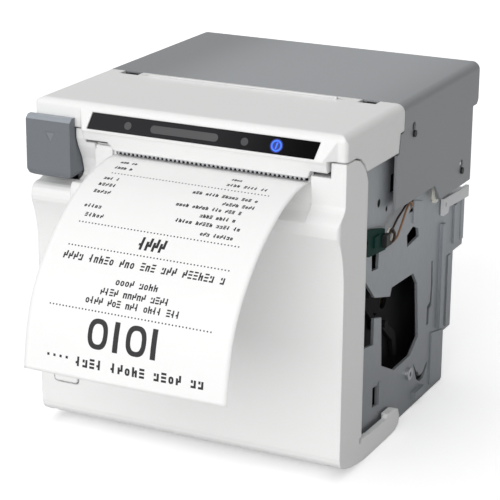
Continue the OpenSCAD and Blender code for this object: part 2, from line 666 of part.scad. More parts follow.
// each spring is a stack of level rings on a thin sleeve
module head_springs() color(GREY_STEEL) for (x=spring_x) difference() {
  union() {
    for (z=[116.5:1.15:122.5]) translate([x,spring_y,z]) wire_ring(2.1,0.3);
    rod_z(116.2,122.7,x,spring_y,1.9);
  }
  rod_z(116,123,x,spring_y,1.5);
}
// [y, z]: out along the top and back along the underside
cable_side = [[-44,113.2],[-41.5,112.9],[-38.6,110.4],[-30,107.4],[-14,105.8],[-8,106],
  [-6,108],[-6,110.9],[-5.7,110.9],[-5.7,107.9],[-7.8,105.7],[-14,105.5],[-30.1,107.1],
  [-38.8,110.1],[-41.7,112.6],[-44,112.9]];
module head_cable() color([0.86,0.84,0.78]) push_x(-20,40) polygon(cable_side);

// ---- cutter --------------------------------------------------------------
cutter_m = 0.6;
cutter_teeth = 12;
cut_pinion_teeth = 8;
rack_pitch = PI*cutter_m;
rack_y = -63.66;   // root line of the rack's teeth
module cutter_frame() color([0.6,0.62,0.64]) {
  difference() {
    box(-33,49.8,-61.8,-60.8,113.2,120.6);
    push_y(-63,5) for (x=[-20,38]) slot(x,117,6,2);
  }
  box(-34.4,-32.4,-63.9,-60.8,115.6,120.6);
  box(-38,-32.4,-61.8,-58.4,119.4,120.6);
  box(20,49.8,-60.8,-49.4,119,119.6);
  box(20,30.8,-49.4,-48.8,119,123.9);
}
module moving_blade() color([0.78,0.79,0.81]) {
  push_y(-63.95,0.8) polygon([[-31.5,114.7],[9.7,116.4],[49.8,114.7],[49.8,121.3],
    [53.1,121.3],[53.1,122.4],[46.6,122.4],[46.6,120.4],[-31.5,120.4]]);
  box(51.5,53.6,-64.8,-63.6,121.3,123.4);
  // rack
  push_x(53.2,3) polygon(concat([[-64.8,127.2],[-64.8,121.3],[rack_y,121.3]],
    [for (k=[-1:2], c=[[rack_y,-0.66],[-62.45,-0.2],[-62.45,0.2],[rack_y,0.66]])
      [c[0],cutter_at[1]+(k+0.5)*rack_pitch+c[1]]],
    [[rack_y,127.2]]));
}
module cutter_gear() color(IVORY) difference() {
  gear(53.3,2.8,cutter_at,cutter_teeth,cutter_m,180,1.03);
  rod_x(50,60,cutter_at+[2,0],0.4);
}
cut_pinion_angle =
  mesh_angle(bearing(cutter_at,cut_motor_at),180,cutter_teeth,cut_pinion_teeth);
module cutter_pinion() color(BRASS) {
  gear(53.3,3,cut_motor_at,cut_pinion_teeth,cutter_m,cut_pinion_angle,0.8);
  rod_x(50.5,56.5,cut_motor_at,0.8);
}
module cutter_motor() color(MOTOR_GREY) {
  difference() {
    union() {
      difference() {
        rod_x(31,52,cut_motor_at,4.4);
        box(30,53,-60,-40,128.3,130);
      }
      push_x(51.99,1.1)
        polygon([[-61.5,119.7],[-61.5,125],[-57,127.4],[-49.6,127.4],[-49.6,119.7]]);
    }
    rod_x(50.2,60,cut_motor_at,0.85);
  }
  // post of the cutter gear
  rod_x(53.09,56.4,cutter_at,1);
  rod_x(56.2,plate_in,cutter_at,1.6);
}

// ---- opening lever and latch ---------------------------------------------
lever_left = -65;
lever_right = lever_left+lever_w;
module open_lever() color([0.49,0.51,0.53]) difference() {
  intersection() {
    union() {
      box(lever_left,lever_right,-71,-67.4,101.5,124.9);
      box(lever_left,lever_right,-71,-60,101.5,121);
    }
    push_x(-70,30) polygon([[-71,104.2],[-70.4,102.4],[-68.8,101.5],[-62.6,101.5],
      [-60,104.6],[-60,124.9],[-69.4,124.9],[-71,123.5]]);
    push_y(-75,20) {
      round_rect(lever_left,lever_right,101.5,130,3);
      rect(lever_left,lever_right,112,124.9);
    }
  }
  box(-63,-48,-68.6,-59,104,119);
  box(-63,-48,-63.2,-59,100,105);
  // engraved triangle
  push_y(-71.5,0.7) polygon([[-56.5,119.2],[-52.5,119.2],[-54.5,115.5]]);
}
hook_side = [[-60.2,111.8],[-60.2,117.4],[-57,119.2],[-40.8,119.2],[-40.8,114.4],
  [-41.6,114.2],[-42.7,114.4],[-42.7,116.9],[-51.5,116.9],[-53,113.4],[-57,111.8]];
module latch_hook() color(DARK_STEEL) {
  push_x(-plate_in+0.3,1.4) difference() {
    union() {
      polygon(hook_side);
      disc(latch_at,3.4);
    }
    disc(latch_at,2.06);
  }
  // tongue and plate that carry the lever's moulded cap
  box(-plate_in+0.3,-plate_in+1.7,-68.5,-60.1,112,116.5);
  box(-62.8,-48.2,-68.5,-67.4,105,118.5);
}
module catch_pin() color(STEEL) {
  rod_x(-plate_in,-plate_in+2.2,catch_at,1.4);
  rod_x(-plate_in,-plate_in+0.2,catch_at,2.2);
}
module lever_spring() color(GREY_STEEL) {
  for (i=[0:3]) translate([-48.8+i*1.1,latch_at[0],latch_at[1]]) rotate([0,90,0])
    wire_ring(2.5,0.4);
  difference() {
    rod_x(-49.1,-45.2,latch_at,2.4);
    rod_x(-50,-45,latch_at,2.03);
  }
}

// ---- sensors and electronics ---------------------------------------------
module near_end_lever() color([0.12,0.12,0.13]) difference() {
  push_x(52.8,1.8) {
    disc(near_end_at,3.4);
    polygon([[-11.9,46.4],[-11.6,42.8],[3,31],[5.5,23],[9,24],[6,34]]);
    polygon([[-17,45],[-15.6,47],[-26,57],[-28.6,55.6]]);
  }
  rod_x(50,60,near_end_at,1.55);
}
module near_end_sensor() color([0.1,0.1,0.11]) {
  rod_x(52.4,plate_in,near_end_at,1.5);
  box(55.2,plate_in,-31.5,-22.5,60,67);
  difference() {
    box(52.4,plate_in,-30,-24,61.6,65.4);
    box(53,54.9,-33,-20,60,68);
  }
}
module side_board() color([0.04,0.22,0.14]) {
  difference() {
    push_x(plate_out+0.5,1) polygon([[-44,80.6],[-44,90.5],[-25,86],[-23.8,77.4],[-40,79]]);
    rod_x(50,70,[-42.2,85],0.9);
  }
  box(plate_out+1.5,plate_out+2.2,-36,-31,81.5,85.5);
  box(plate_out,plate_out+0.5,-42,-28,81.5,84.5);
}
// [y, z] along the two wires, front to back
upper_wire = [[-25,83],[-21,84],[-17,85.3],[-13,86.9],[-9,88],[-5,88.9],[-1,89.2],
  [2.4,88.2],[4.9,85.6]];
lower_wire = [[-25,80.6],[-22,78.8],[-19,78.2],[-16,78.8],[-13,80.2],[-10,82.2],[-7,84.2],
  [-4,86],[0,87],[3,85.9],[4.9,84.6]];
wire_w = 0.8;
module side_harness() color([0.2,0.13,0.1]) {
  box(plate_out+1.5,plate_out+3,-27.5,-24,79,84.2);
  for (p=[upper_wire,lower_wire]) push_x(plate_out+1.5,wire_w) polygon(band(p,wire_w));
  rod_x(plate_out-6,plate_out+2.3,[5.2,84.8],0.8);
}
module main_board() color([0.04,0.25,0.12]) difference() {
  box(-48,50,-8,44,board_bottom,board_top);
  for (x=board_x, y=board_y) rod_z(110,120,x,y,1.6);
}
module board_parts() color([0.09,0.09,0.1]) {
  box(-20,-4,4,20,board_top,115.3);
  box(6,22,6,16,board_top,114.8);
  box(28,34,2,12,board_top,116);
  for (x=[-38,-30]) rod_z(board_top,121,x,8,3.2);
  rod_z(104,board_bottom,30,2,4);
  box(-40,-28,-4,6,106,board_bottom);
  // socket of the head cable
  difference() {
    box(-24,24,-7.6,-3.6,109,board_bottom);
    box(-21,21,-6.2,-5.2,108,111);
  }
  box(35,42.5,-6,4,107.5,board_bottom);
}
// port bodies: [x0, x1, z0]
port_bodies = [[-41.6,-24,97.5],[-20,-7,99],[-3,13,98.5],[17,29,100.5],[32,43.6,98.5]];
module rear_ports() color([0.2,0.2,0.21]) difference() {
  for (p=port_bodies) box(p[0],p[1],33,48,p[2],board_bottom);
  rod_y(38,50,-33,104.7,5.6);
  boxes([
    [-18.2,-8.8,38,50,101,109.5],
    [-1,11,38,50,100.5,110],
    [19,27,40,50,102.5,109.5],
    [33.5,42.2,38,50,101,110]]);
}
module board_standoffs() color(BRASS) for (x=board_x, y=board_y) {
  rod_z(board_top,121.4,x,y,2.6);
  rod_z(110.8,board_top,x,y,1.5);
  rod_z(109.6,board_bottom,x,y,2.2);
}
module hood_screws() color([0.3,0.31,0.33]) for (p=hood_screws_at) {
  rod_pair(plate_out,half_w-hood_t,p,2.1);
  rod_pair(plate_out+1,half_w+0.1,p,0.75);
  rod_pair(half_w,half_w+0.8,p,1.35);
}
module frame_screws() color(STEEL) {
  for (p=[[7.2,16.4],[38,104],[-24,116.5],[20.2,96]]) difference() {
    rod_pair(plate_out,plate_out+1.4,p,2.5);
    rod_pair(plate_out+0.7,plate_out+2,p,1.1,$fn=6);
  }
  for (x=rear_screw_x, z=rear_screw_z) difference() {
    union() {
      rod_y(47,48.5,x,z,2.6);
      rod_y(44,47,x,z,1.6);
    }
    rod_y(47.7,49,x,z,1.2,$fn=6);
  }
}

top_cover();
indicator_window();
light_guides();
indicator_board();
tear_bar();
hood();
side_plate_right();
side_plate_left();
base_plate();
rear_plate();
top_plate();
head_bridge();
paper_bucket();
paper_roll();
roll_core();
paper_web();
receipt();
front_door();
door_liner();
platen_carrier();
platen_rubber();
platen_shaft();
platen_bushings();
platen_gear();
counter_blade();
latch_pin();
hinge_pins();
feed_button();
button_board();
idler_gear();
motor_pinion();
feed_motor();
motor_bracket();
gear_posts();
thermal_head();
heat_sink();
head_rod();
head_springs();
head_cable();
cutter_frame();
moving_blade();
cutter_gear();
cutter_pinion();
cutter_motor();
open_lever();
latch_hook();
catch_pin();
lever_spring();
near_end_lever();
near_end_sensor();
side_board();
side_harness();
main_board();
board_parts();
rear_ports();
board_standoffs();
rear_bracket();
rear_box();
hood_screws();
frame_screws();
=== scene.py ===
"""Receipt printer with a paper roll inside and a printed strip hanging from its exit.

This script gives them materials and adds the paper, print, springs, cables and small marks. +Z
is up, the front faces -Y and +X is to the right as seen from the front. Lengths are in
millimetres and become metres through MM, unless noted.
"""
import bpy, json, math, random
from mathutils import Vector, Matrix


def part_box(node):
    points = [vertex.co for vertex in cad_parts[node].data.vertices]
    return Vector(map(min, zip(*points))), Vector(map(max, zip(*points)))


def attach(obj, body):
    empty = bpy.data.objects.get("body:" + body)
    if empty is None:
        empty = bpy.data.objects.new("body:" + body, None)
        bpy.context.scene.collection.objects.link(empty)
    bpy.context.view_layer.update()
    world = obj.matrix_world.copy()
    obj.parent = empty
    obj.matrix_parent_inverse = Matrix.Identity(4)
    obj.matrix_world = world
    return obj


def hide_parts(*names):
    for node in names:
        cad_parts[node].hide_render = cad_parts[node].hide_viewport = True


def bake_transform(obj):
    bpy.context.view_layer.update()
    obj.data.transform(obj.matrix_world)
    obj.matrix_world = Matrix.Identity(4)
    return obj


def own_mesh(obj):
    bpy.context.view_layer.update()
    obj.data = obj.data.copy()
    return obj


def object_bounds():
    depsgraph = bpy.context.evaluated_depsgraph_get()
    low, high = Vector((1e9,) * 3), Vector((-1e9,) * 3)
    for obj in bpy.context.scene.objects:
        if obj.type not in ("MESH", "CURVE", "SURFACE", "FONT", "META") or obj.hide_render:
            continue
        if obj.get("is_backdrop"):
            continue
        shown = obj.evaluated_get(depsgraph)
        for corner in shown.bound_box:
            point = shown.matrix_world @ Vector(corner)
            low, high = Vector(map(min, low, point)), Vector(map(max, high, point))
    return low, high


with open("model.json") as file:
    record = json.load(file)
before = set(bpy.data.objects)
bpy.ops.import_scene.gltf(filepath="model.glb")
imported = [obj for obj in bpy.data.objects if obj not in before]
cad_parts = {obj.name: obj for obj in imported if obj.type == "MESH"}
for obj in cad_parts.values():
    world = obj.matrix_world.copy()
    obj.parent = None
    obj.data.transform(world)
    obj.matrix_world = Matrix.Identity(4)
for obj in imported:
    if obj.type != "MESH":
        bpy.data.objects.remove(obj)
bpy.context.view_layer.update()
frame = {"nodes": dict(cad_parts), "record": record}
random.seed(7)

MM = 0.001
ROLL_Y, ROLL_Z, ROLL_RADIUS = -2.0, 49.0, 40.0  # the roll's axis runs along X
PAPER_THICKNESS = 0.1
PLATE_X = 60.0  # outer face of the right side plate


# ---------------------------------------------------------------- shader nodes
def add_node(tree, kind, inputs=None, **settings):
    """Add a shader node; inputs maps each socket to a value or to the socket that feeds it."""
    node = tree.nodes.new("ShaderNode" + kind)
    for key, value in settings.items():
        setattr(node, key, value)
    for key, value in (inputs or {}).items():
        if isinstance(value, bpy.types.NodeSocket):
            tree.links.new(value, node.inputs[key])
        else:
            node.inputs[key].default_value = value
    return node


def math_node(tree, operation, first, second):
    return add_node(tree, "Math", {0: first, 1: second}, operation=operation).outputs[0]


def map_range(tree, value, to_range, from_range=(0.0, 1.0), smooth=False):
    return add_node(tree, "MapRange", {
        "Value": value,
        "From Min": from_range[0], "From Max": from_range[1],
        "To Min": to_range[0], "To Max": to_range[1],
    }, interpolation_type="SMOOTHSTEP" if smooth else "LINEAR").outputs[0]


def grey(tree, level):
    return add_node(tree, "CombineColor", {0: level, 1: level, 2: level}).outputs[0]


def multiply(tree, colour, gain):
    """Colour times a grey gain."""
    return add_node(tree, "Mix", {"Factor": 1, "A": colour, "B": grey(tree, gain)},
                    data_type="RGBA", blend_type="MULTIPLY").outputs["Result"]


def ring_gain(tree, position, centre):
    """Uneven rings around an axis along X; centre is its (y, z) in metres."""
    place = add_node(tree, "SeparateXYZ", {0: position}).outputs
    offset = add_node(tree, "CombineXYZ", {
        axis: math_node(tree, "SUBTRACT", place[axis], centre[axis - 1]) for axis in (1, 2)})
    radius = add_node(tree, "VectorMath", {0: offset.outputs[0]}, operation="LENGTH")
    rings_per_metre = 9000.0
    scaled = math_node(tree, "MULTIPLY", radius.outputs["Value"], rings_per_metre)
    noise = add_node(tree, "TexNoise", {"Scale": 1.0, "W": scaled}, noise_dimensions="1D")
    return map_range(tree, noise.outputs["Fac"], (0.82, 1.04), from_range=(0.3, 0.7))


def painted_light_band_gain(tree, position, centre, half_width, gain):
    """Painted light: broad soft lighter band across X, a painted highlight easing to slightly
    darker painted shade outside it.
    """
    x = add_node(tree, "SeparateXYZ", {0: position}).outputs[0]
    offset = math_node(tree, "SUBTRACT", x, centre * MM)
    ratio = math_node(tree, "DIVIDE", offset, half_width * MM)
    squared = math_node(tree, "POWER", ratio, 2)
    return map_range(tree, squared, (1 + gain, 0.98), smooth=True)


# ---------------------------------------------------------------- materials
MATS = {}


def material(name, colour, rough, metal=0.0, tone=0.03, tone_scale=30.0, bump=0.04,
             grain=1800.0, bevel=0.0, stretch=(1, 1, 1), spec=0.5, speck=0.0, glow=None,
             glow_strength=0.0, rough_spread=0.08, rings=None, transmission=0.0, painted_light_band=None,
             painted_top_highlight=None, height_fade=None):
    """Principled material whose tone and roughness follow one broad noise.

    tone          colour change either way, as a share; tone_scale is its noise scale
    grain         scale of the fine noise behind bump and speck (bump strength, darkening)
    bevel         radius of the shaded edge rounding, mm
    rings         (y, z) of an axis with rings around it, metres
    painted_light_band  (centre x, half width, gain) of a lighter band, mm: painted highlight,
    with painted shade outside it painted_top_highlight  (from, to, gain at from, gain at to)
    over the normal's z: painted highlight on faces turned up
    height_fade   the same four over the object's z, metres
    """
    mat = bpy.data.materials.new(name)
    mat.use_nodes = True
    tree = mat.node_tree
    tree.nodes.clear()
    coords = add_node(tree, "TexCoord").outputs
    position = coords["Object"]
    mapped = add_node(tree, "Mapping", {"Vector": position, "Scale": stretch}).outputs[0]
    broad = add_node(tree, "TexNoise", {
        "Vector": mapped, "Scale": tone_scale, "Detail": 4}).outputs["Fac"]
    if speck or bump:
        fine = add_node(tree, "TexNoise", {
            "Vector": mapped, "Scale": grain, "Detail": 2}).outputs["Fac"]

    result = add_node(tree, "Mix", {
        "A": [max(0.0, c * (1 - tone)) for c in colour] + [1],
        "B": [min(1.0, c * (1 + tone)) for c in colour] + [1],
        "Factor": broad,
    }, data_type="RGBA").outputs["Result"]
    if speck:
        gain = map_range(tree, fine, (1 - speck, 1 + speck), from_range=(0.35, 0.65))
        result = multiply(tree, result, gain)
    if rings:
        result = multiply(tree, result, ring_gain(tree, position, rings))
    if painted_light_band:
        result = multiply(tree, result, painted_light_band_gain(tree, position, *painted_light_band))
    for ramp, source in ((painted_top_highlight, coords["Normal"]), (height_fade, position)):
        if ramp:
            z = add_node(tree, "SeparateXYZ", {0: source}).outputs[2]
            gain = map_range(tree, z, ramp[2:], from_range=ramp[:2], smooth=True)
            result = multiply(tree, result, gain)

    inputs = {
        "Base Color": result,
        "Roughness": map_range(tree, broad, (max(0.02, rough - rough_spread),
                                             min(1.0, rough + rough_spread))),
        "Metallic": metal,
        "Specular IOR Level": spec,
        "Transmission Weight": transmission,
    }
    if glow:
        inputs["Emission Color"] = (*glow, 1)
        inputs["Emission Strength"] = glow_strength
    if bevel:
        inputs["Normal"] = add_node(tree, "Bevel", {"Radius": bevel * MM}, samples=4).outputs[0]
    if bump:
        relief = {"Strength": bump, "Distance": 0.0002, "Height": fine}
        if bevel:
            relief["Normal"] = inputs["Normal"]
        inputs["Normal"] = add_node(tree, "Bump", relief).outputs[0]
    shader = add_node(tree, "BsdfPrincipled", inputs)
    add_node(tree, "OutputMaterial", {"Surface": shader.outputs[0]})
    MATS[name] = mat


# housing plastics
# white_plastic carries painted light: a lighter band toward x = 50 mm, with painted shade
# toward the left end
material("white_plastic", (0.87, 0.87, 0.865), rough=0.42, tone=0.012, tone_scale=22, bump=0.05,
         grain=2600, bevel=0.7, speck=0.01, painted_light_band=(50, 115, 0.012))
material("white_lid", (0.855, 0.855, 0.85), rough=0.38, tone=0.012, tone_scale=22, bump=0.05,
         grain=2600, bevel=0.9, speck=0.01)
material("grey_plastic", (0.145, 0.158, 0.174), rough=0.5, tone_scale=25, bump=0.08,
         grain=2600, bevel=1.1, speck=0.03)
# lever_grey carries a painted highlight on its upward faces
material("lever_grey", (0.162, 0.176, 0.194), rough=0.5, tone_scale=25, bump=0.08,
         grain=2600, bevel=0.6, speck=0.03, painted_top_highlight=(0.35, 0.95, 1.0, 2.3))
material("lever_inlay", (0.195, 0.211, 0.229), rough=0.5, bump=0.05)
material("dark_box", (0.17, 0.18, 0.19), rough=0.55, tone=0.04, bump=0.06, bevel=0.4)
material("black_plastic", (0.008, 0.008, 0.009), rough=0.7, tone=0.2, bump=0.06, bevel=0.3,
         spec=0.15)
# window carries a painted reflection: much lighter toward its left end, darker to the right
material("window", (0.0042, 0.0042, 0.0045), rough=0.3, tone=0.2, bump=0.0, bevel=0.2,
         spec=0.01, rough_spread=0.03, painted_light_band=(-32, 84, 6.2))
material("clear_plastic", (0.7, 0.75, 0.8), rough=0.2, bump=0.02, transmission=0.6)
material("natural_plastic", (0.78, 0.77, 0.70), rough=0.45, bevel=0.12)
# metals and painted parts
# painted_grey carries a painted sheen: a lighter band around x = 14 mm across the hood
material("painted_grey", (0.29, 0.301, 0.315), rough=0.46, metal=0.3, tone=0.04, tone_scale=14,
         bump=0.07, grain=3200, bevel=0.5, speck=0.05, painted_light_band=(14, 62, 0.38))
material("zinc_steel", (0.42, 0.445, 0.47), rough=0.42, metal=0.5, tone=0.14, tone_scale=55,
         bump=0.05, grain=900, bevel=0.2, stretch=(1, 1, 0.25), speck=0.03, rough_spread=0.1,
         height_fade=(0.022, 0.088, 0.74, 0.98))
material("bracket_white", (0.74, 0.75, 0.76), rough=0.5, bump=0.05, bevel=0.3)
material("steel", (0.55, 0.56, 0.58), rough=0.3, metal=0.9, tone=0.06, tone_scale=90,
         grain=1400, stretch=(0.1, 1, 1), bevel=0.12)
material("spring_steel", (0.5, 0.51, 0.53), rough=0.3, metal=0.95, tone=0.06, bump=0.02)
material("aluminium", (0.62, 0.64, 0.66), rough=0.35, metal=0.85, tone=0.05, bump=0.05,
         stretch=(0.1, 1, 1), bevel=0.12)
material("ceramic", (0.72, 0.72, 0.68), rough=0.25, bump=0.02)
material("brass", (0.62, 0.46, 0.2), rough=0.3, metal=0.95, tone=0.06, bump=0.03, bevel=0.08)
material("rubber", (0.015, 0.015, 0.016), rough=0.75, tone=0.2, bump=0.15, grain=2400,
         bevel=0.2)
# paper
material("thermal_paper", (0.92, 0.92, 0.915), rough=0.62, tone=0.012, tone_scale=60,
         bump=0.05, grain=3600, spec=0.3)
material("roll_edge", (0.84, 0.84, 0.83), rough=0.75, tone=0.02, bump=0.08, grain=3000,
         rings=(ROLL_Y * MM, ROLL_Z * MM), spec=0.25)
material("core_board", (0.40, 0.27, 0.15), rough=0.8, tone=0.15, tone_scale=200, bump=0.15)
# electrical parts
material("circuit_board", (0.004, 0.036, 0.028), rough=0.6, tone=0.25, tone_scale=350,
         bump=0.05, bevel=0.1, spec=0.12)
material("components", (0.018, 0.018, 0.02), rough=0.5, tone=0.2, bump=0.05, bevel=0.1)
material("cable_dark", (0.035, 0.018, 0.012), rough=0.5, tone=0.2, bump=0.03)
material("cable_tan", (0.30, 0.15, 0.07), rough=0.5, tone=0.15, bump=0.03)
material("flat_cable", (0.68, 0.66, 0.58), rough=0.4, tone=0.05, bump=0.03)
material("motor_can", (0.14, 0.145, 0.155), rough=0.35, metal=0.7, tone=0.08, bevel=0.3)
# print, screws and window marks
material("ink", (0.018, 0.018, 0.02), rough=0.6, tone=0.4, tone_scale=900, bump=0.03)
material("dark_screw", (0.02, 0.021, 0.023), rough=0.45, metal=0.4, tone=0.2, bump=0.05,
         bevel=0.1)
material("mark_grey", (0.055, 0.055, 0.058), rough=0.35, tone=0.1, bump=0.0)
material("mark_dim", (0.035, 0.036, 0.04), rough=0.35, tone=0.1, bump=0.0)
material("mark_blue", (0.02, 0.10, 0.75), rough=0.4, tone=0.05, bump=0.0,
         glow=(0.02, 0.13, 1.0), glow_strength=1.1)
material("mark_glow", (0.004, 0.015, 0.12), rough=0.4, tone=0.05, bump=0.0,
         glow=(0.01, 0.05, 0.6), glow_strength=0.18)

# CAD pieces whose material differs from their slot's
NODE_MATERIALS = {
    "top_cover": "white_lid", "open_lever": "lever_grey", "rear_box": "zinc_steel",
    "hood_screws": "dark_screw", "rear_bracket": "bracket_white", "side_harness": "cable_dark",
    "paper_roll": "roll_edge",
}
slot_of = {part["node"]: part["material_slot"] for part in frame["record"]["subparts"]}
for name, piece in frame["nodes"].items():
    piece.data.materials.clear()
    piece.data.materials.append(MATS[NODE_MATERIALS.get(name, slot_of[name])])


# ---------------------------------------------------------------- mesh helpers
def mm(x, y, z):
    """A place given in millimetres, as a vector in metres."""
    return Vector((x, y, z)) * MM


def span(node, axis):
    """Ends of a CAD piece along axis 0, 1 or 2, in mm."""
    low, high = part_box(node)
    return low[axis] / MM, high[axis] / MM


def make(name, shape, material_name, body, smooth=False):
    verts, faces = shape
    mesh = bpy.data.meshes.new(name)
    mesh.from_pydata([tuple(v) for v in verts], [], [tuple(f) for f in faces])
    mesh.validate()
    mesh.materials.append(MATS[material_name])
    if smooth:
        for polygon in mesh.polygons:
            polygon.use_smooth = True
    mesh.update()
    obj = bpy.data.objects.new(name, mesh)
    bpy.context.scene.collection.objects.link(obj)
    if body:
        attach(obj, body)
    return obj


def join(shapes):
    verts, faces = [], []
    for shape_verts, shape_faces in shapes:
        first = len(verts)
        verts += list(shape_verts)
        faces += [tuple(i + first for i in face) for face in shape_faces]
    return verts, faces


def spline(points, steps):
    """Catmull-Rom curve through the points, with steps pieces between neighbours."""
    knots = [Vector(p) for p in points]
    knots = [knots[0] * 2 - knots[1]] + knots + [knots[-1] * 2 - knots[-2]]
    curve = []
    for i in range(1, len(knots) - 2):
        a, b, c, d = knots[i - 1:i + 3]
        for k in range(steps):
            t = k / steps
            curve.append(0.5 * ((2 * b) + (c - a) * t + (2 * a - 5 * b + 4 * c - d) * t * t
                                + (3 * b - a - 3 * c + d) * t ** 3))
    curve.append(knots[-2])
    return curve


def spline_yz(points, steps):
    return [(p.y, p.z) for p in spline([(0, y, z) for y, z in points], steps)]


def tube(path, radius, sides=10):
    """Closed round tube along a path; radius in mm, path in metres."""
    verts, faces = [], []
    last = len(path) - 1
    start = (path[1] - path[0]).normalized()
    helper = Vector((0, 0, 1)) if abs(start.z) < 0.9 else Vector((1, 0, 0))
    normal = start.cross(helper).normalized()
    for i, point in enumerate(path):
        tangent = (path[min(last, i + 1)] - path[max(0, i - 1)]).normalized()
        normal = (normal - tangent * normal.dot(tangent)).normalized()
        side = tangent.cross(normal)
        for k in range(sides):
            angle = 2 * math.pi * k / sides
            offset = normal * math.cos(angle) + side * math.sin(angle)
            verts.append(point + offset * (radius * MM))
    for i in range(last):
        a, b = i * sides, (i + 1) * sides
        for k in range(sides):
            k2 = (k + 1) % sides
            faces.append((a + k, a + k2, b + k2, b + k))
    faces.append(tuple(range(sides))[::-1])
    faces.append(tuple(last * sides + k for k in range(sides)))
    return verts, faces


def sheet(line, x_ends, thickness, columns, ripple=None):
    """Closed thin sheet along a line of (y, z), thickened inward from its outer face.

    ripple(across, along) lifts the face: across runs 0..1 in X, along is mm down the line.
    """
    points = [Vector((0, y, z)) for y, z in line]
    rows = len(points)
    normals = []
    for i in range(rows):
        step = (points[min(rows - 1, i + 1)] - points[max(0, i - 1)]).normalized()
        normals.append(Vector((0, step.z, -step.y)))
    along = [0.0]
    for a, b in zip(points, points[1:]):
        along.append(along[-1] + (b - a).length)
    x0, x1 = x_ends
    verts, faces = [], []
    for side in (0, 1):
        for i in range(rows):
            for j in range(columns + 1):
                u = j / columns
                lift = ripple(u, along[i]) if ripple else 0.0
                p = points[i] + normals[i] * (lift - thickness * side)
                verts.append(mm(x0 + (x1 - x0) * u, p.y, p.z))
    w = columns + 1
    back = rows * w  # first vertex of the inner face
    for i in range(rows - 1):
        for j in range(columns):
            a = i * w + j
            faces.append((a, a + w, a + w + 1, a + 1))
            faces.append((back + a, back + a + 1, back + a + w + 1, back + a + w))
    for i in range(rows - 1):
        a = i * w
        faces.append((a, back + a, back + a + w, a + w))
        a += columns
        faces.append((a, a + w, back + a + w, back + a))
    for j in range(columns):
        faces.append((j, j + 1, back + j + 1, back + j))
        a = (rows - 1) * w + j
        faces.append((a, back + a, back + a + 1, a + 1))
    return verts, faces


def prism(near, far, flip=False):
    """Closed prism between two matching outlines; flip turns its faces over."""
    n = len(near)
    caps = [tuple(range(n)), tuple(range(n, 2 * n))[::-1]]
    sides = [(k, k + n, (k + 1) % n + n, (k + 1) % n) for k in range(n)]
    if flip:
        caps = [cap[::-1] for cap in caps]
        sides = [(a, d, c, b) for a, b, c, d in sides]
    return near + far, caps + sides


def prism_y(outline, y0, y1):
    """Prism along Y over an (x, z) outline."""
    return prism(*([mm(x, y, z) for x, z in outline] for y in (y0, y1)))


def prism_x(outline, x0, x1):
    """Prism along X over a (y, z) outline."""
    return prism(*([mm(x, y, z) for y, z in outline] for x in (x0, x1)), flip=True)


def block(x0, x1, y0, y1, z0, z1, chamfer):
    """Box with its edges along Y chamfered."""
    c = chamfer
    return prism_y([(x0 + c, z0), (x1 - c, z0), (x1, z0 + c), (x1, z1 - c),
                    (x1 - c, z1), (x0 + c, z1), (x0, z1 - c), (x0, z0 + c)], y0, y1)


def circle(cx, cy, radius, count):
    angles = [2 * math.pi * k / count for k in range(count)]
    return [(cx + radius * math.cos(a), cy + radius * math.sin(a)) for a in angles]


# ---------------------------------------------------------------- hanging strip
# outer face (y, z), from the exit forward and down the front
STRIP_OUTLINE = [
    (-64.9, 112.62), (-67, 112.72), (-71, 112.6), (-76, 112), (-80.5, 111), (-85, 109.6),
    (-89, 108.1), (-93, 106.2), (-97, 104), (-101, 101.5), (-105, 98.7), (-109, 95.5),
    (-113, 91.8), (-117, 87.6), (-120.5, 83.4), (-123.5, 78.8), (-126, 73.8), (-128, 68),
    (-129.6, 61), (-131.15, 51.3),
]
STRIP_X0, STRIP_X1 = span("receipt", 0)
STRIP_LINE = spline_yz(STRIP_OUTLINE, 8)
STRIP_ALONG = [0.0]
for a, b in zip(STRIP_LINE, STRIP_LINE[1:]):
    STRIP_ALONG.append(STRIP_ALONG[-1] + math.hypot(b[0] - a[0], b[1] - a[1]))


def strip_ripple(u, s):
    """Gentle waviness of the strip, none near the exit."""
    growth = min(1.0, max(0.0, (s - 12) / 60.0))
    return growth * (0.35 * math.cos(math.pi * (u - 0.1))
                     + 0.22 * math.sin(2 * math.pi * u + s * 0.05)
                     - 0.25 * (2 * u - 1) ** 2)


def on_strip(x, s, height):
    """Place on the strip's outer face: s mm down from the exit, height mm above the face."""
    s = min(max(s, 0.0), STRIP_ALONG[-1] - 1e-6)
    i = 0
    while i < len(STRIP_ALONG) - 2 and STRIP_ALONG[i + 1] < s:
        i += 1
    t = (s - STRIP_ALONG[i]) / (STRIP_ALONG[i + 1] - STRIP_ALONG[i])
    (y0, z0), (y1, z1) = STRIP_LINE[i:i + 2]
    dy, dz = y1 - y0, z1 - z0
    length = math.hypot(dy, dz)
    lift = strip_ripple((x - STRIP_X0) / (STRIP_X1 - STRIP_X0), s) + height
    return mm(x, y0 + dy * t + dz / length * lift, z0 + dz * t - dy / length * lift)


strip = make("receipt_paper",
             sheet(STRIP_LINE, (STRIP_X0, STRIP_X1), PAPER_THICKNESS, 44, strip_ripple),
             "thermal_paper", "receipt_strip", smooth=True)
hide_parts("receipt")

# ---------------------------------------------------------------- print on the strip
# x runs across the strip and s is mm down from the exit
INK_BOTTOM, INK_TOP = 0.012, 0.035
ink_shapes = []


def print_patch(corners):
    """Thin closed patch of ink over four (x, s) corners."""
    ink_shapes.append(prism(*([on_strip(x, s, height) for x, s in corners]
                              for height in (INK_BOTTOM, INK_TOP)), flip=True))


def print_bar(x0, x1, s0, s1):
    """Rectangle cut into cells small enough to follow the bend."""
    rows = max(1, int((s1 - s0) / 1.6))
    columns = max(1, int((x1 - x0) / 3.0))
    for i in range(rows):
        for j in range(columns):
            a, b = s0 + (s1 - s0) * i / rows, s0 + (s1 - s0) * (i + 1) / rows
            c, d = x0 + (x1 - x0) * j / columns, x0 + (x1 - x0) * (j + 1) / columns
            print_patch([(c, a), (c, b), (d, b), (d, a)])


